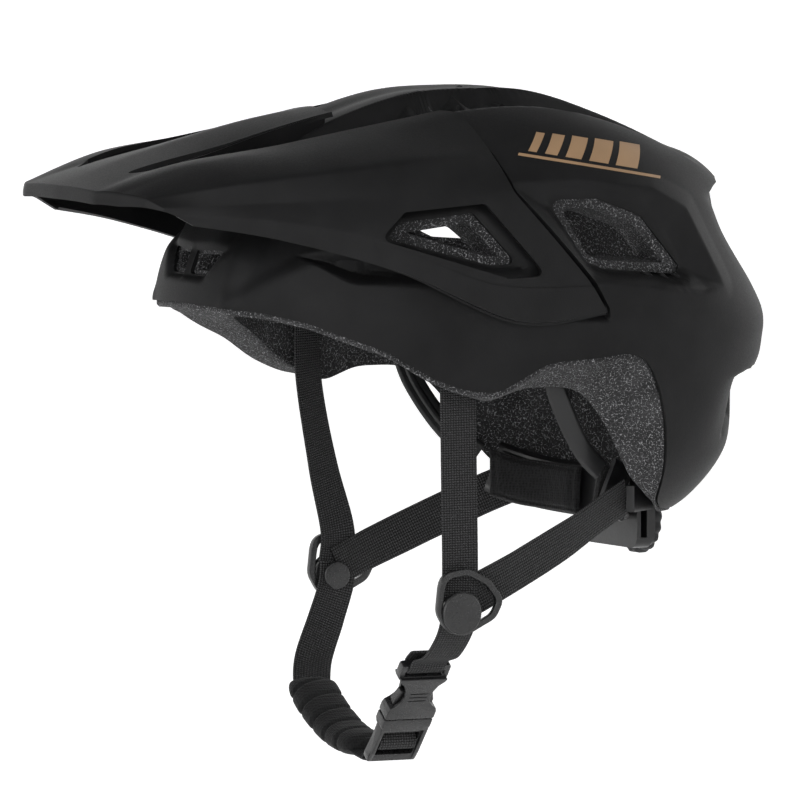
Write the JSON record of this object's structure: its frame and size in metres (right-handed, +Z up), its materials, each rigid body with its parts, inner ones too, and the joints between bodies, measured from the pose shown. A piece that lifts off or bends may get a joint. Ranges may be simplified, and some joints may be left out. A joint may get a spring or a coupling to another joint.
{
  "type": "cycling helmet",
  "caption": "Open-face trail cycling helmet with long visor, foam liner, rear fit dial, webbing straps, padded chin strap and side-release buckle.",
  "frame": {"origin": "centre of the head opening at brow height", "axes": "-Y to the front, +X to the wearer's left, +Z up"},
  "size_m": [0.2168, 0.3506, 0.3117],
  "materials": {
    "shell_skin": "fine matte, slight orange peel",
    "visor_plastic": "fine matte",
    "liner_foam": "moulded bead foam, speckled grey",
    "moulded_plastic": "satin",
    "buckle_plastic": "satin, fine grain",
    "knob_rubber": "soft touch",
    "screw_steel": "zinc",
    "pad_fabric": "brushed knit",
    "webbing": "ribbed woven webbing"
  },
  "bodies": {
    "shell": {"outer_shell": "shell_skin", "foam_liner": "liner_foam", "visor_sockets": "moulded_plastic", "headband": "moulded_plastic", "left_band_arm": "moulded_plastic", "right_band_arm": "moulded_plastic", "band_anchor_pins": "moulded_plastic", "brow_pad": "pad_fabric", "crown_pad": "pad_fabric", "left_side_pad": "pad_fabric", "right_side_pad": "pad_fabric", "hook_dots": "moulded_plastic", "strap_anchors": "moulded_plastic", "strap_guides": "moulded_plastic", "left_front_strap": "webbing", "left_rear_strap": "webbing", "right_front_strap": "webbing", "right_rear_strap": "webbing", "left_chin_strap": "webbing", "right_chin_strap": "webbing", "chin_pad": "pad_fabric", "buckle_female": "buckle_plastic"},
    "visor": {"visor": "visor_plastic", "visor_pins": "moulded_plastic"},
    "cradle": {"rear_cradle": "moulded_plastic", "left_cradle_pad": "pad_fabric", "right_cradle_pad": "pad_fabric", "dial_housing": "moulded_plastic", "dial_back_plate": "moulded_plastic", "detent_spring": "screw_steel"},
    "dial": {"dial_knob": "knob_rubber", "dial_pinion": "moulded_plastic", "dial_screw": "screw_steel"},
    "left_rack": {"left_rack": "moulded_plastic"},
    "right_rack": {"right_rack": "moulded_plastic"},
    "left_divider": {"left_divider": "buckle_plastic", "left_divider_disc": "buckle_plastic"},
    "right_divider": {"right_divider": "buckle_plastic", "right_divider_disc": "buckle_plastic"},
    "buckle_plug": {"buckle_male": "buckle_plastic"},
    "front_prong": {"buckle_front_prong": "buckle_plastic"},
    "rear_prong": {"buckle_rear_prong": "buckle_plastic"}
  },
  "joints": [
    {"name": "visor_pull", "type": "slide", "parent": "shell", "child": "visor", "axis": [0, -1, 0], "range_m": [0, 0.02]},
    {"name": "cradle_height", "type": "slide", "parent": "shell", "child": "cradle", "axis": [0, 0, 1], "range_m": [-0.006, 0.004]},
    {"name": "dial_spin", "type": "hinge", "parent": "cradle", "child": "dial", "pos_m": [0, 0.088, -0.104], "axis": [0, 1, 0], "range_deg": [-130, 130]},
    {"name": "left_rack_slide", "type": "slide", "parent": "cradle", "child": "left_rack", "axis": [1, 0, 0], "range_m": [-0.0115, 0.0115]},
    {"name": "right_rack_slide", "type": "slide", "parent": "cradle", "child": "right_rack", "axis": [-1, 0, 0], "range_m": [-0.0115, 0.0115]},
    {"name": "left_divider_slide", "type": "slide", "parent": "shell", "child": "left_divider", "axis": [0, 0, 1], "range_m": [-0.012, 0.02], "deforming": ["left_front_strap", "left_rear_strap", "left_chin_strap"]},
    {"name": "right_divider_slide", "type": "slide", "parent": "shell", "child": "right_divider", "axis": [0, 0, 1], "range_m": [-0.012, 0.02], "deforming": ["right_front_strap", "right_rear_strap"]},
    {"name": "buckle_release", "type": "slide", "parent": "shell", "child": "buckle_plug", "axis": [-0.6293, 0, -0.7771], "range_m": [0, 0.03], "deforming": ["right_chin_strap"]},
    {"name": "front_prong_squeeze", "type": "hinge", "parent": "buckle_plug", "child": "front_prong", "pos_m": [0.02674, -0.0485, -0.18955], "axis": [-0.7771, 0, 0.6293], "range_deg": [0, 6], "stiffness_Nm_per_rad": 0.02},
    {"name": "rear_prong_squeeze", "type": "hinge", "parent": "buckle_plug", "child": "rear_prong", "pos_m": [0.02674, -0.0335, -0.18955], "axis": [0.7771, 0, -0.6293], "range_deg": [0, 6], "stiffness_Nm_per_rad": 0.02}
  ],
  "couplings": [
    {"joint": "left_rack_slide", "follows": "dial_spin", "m_per_rad": 0.005},
    {"joint": "right_rack_slide", "follows": "dial_spin", "m_per_rad": 0.005}
  ]
}
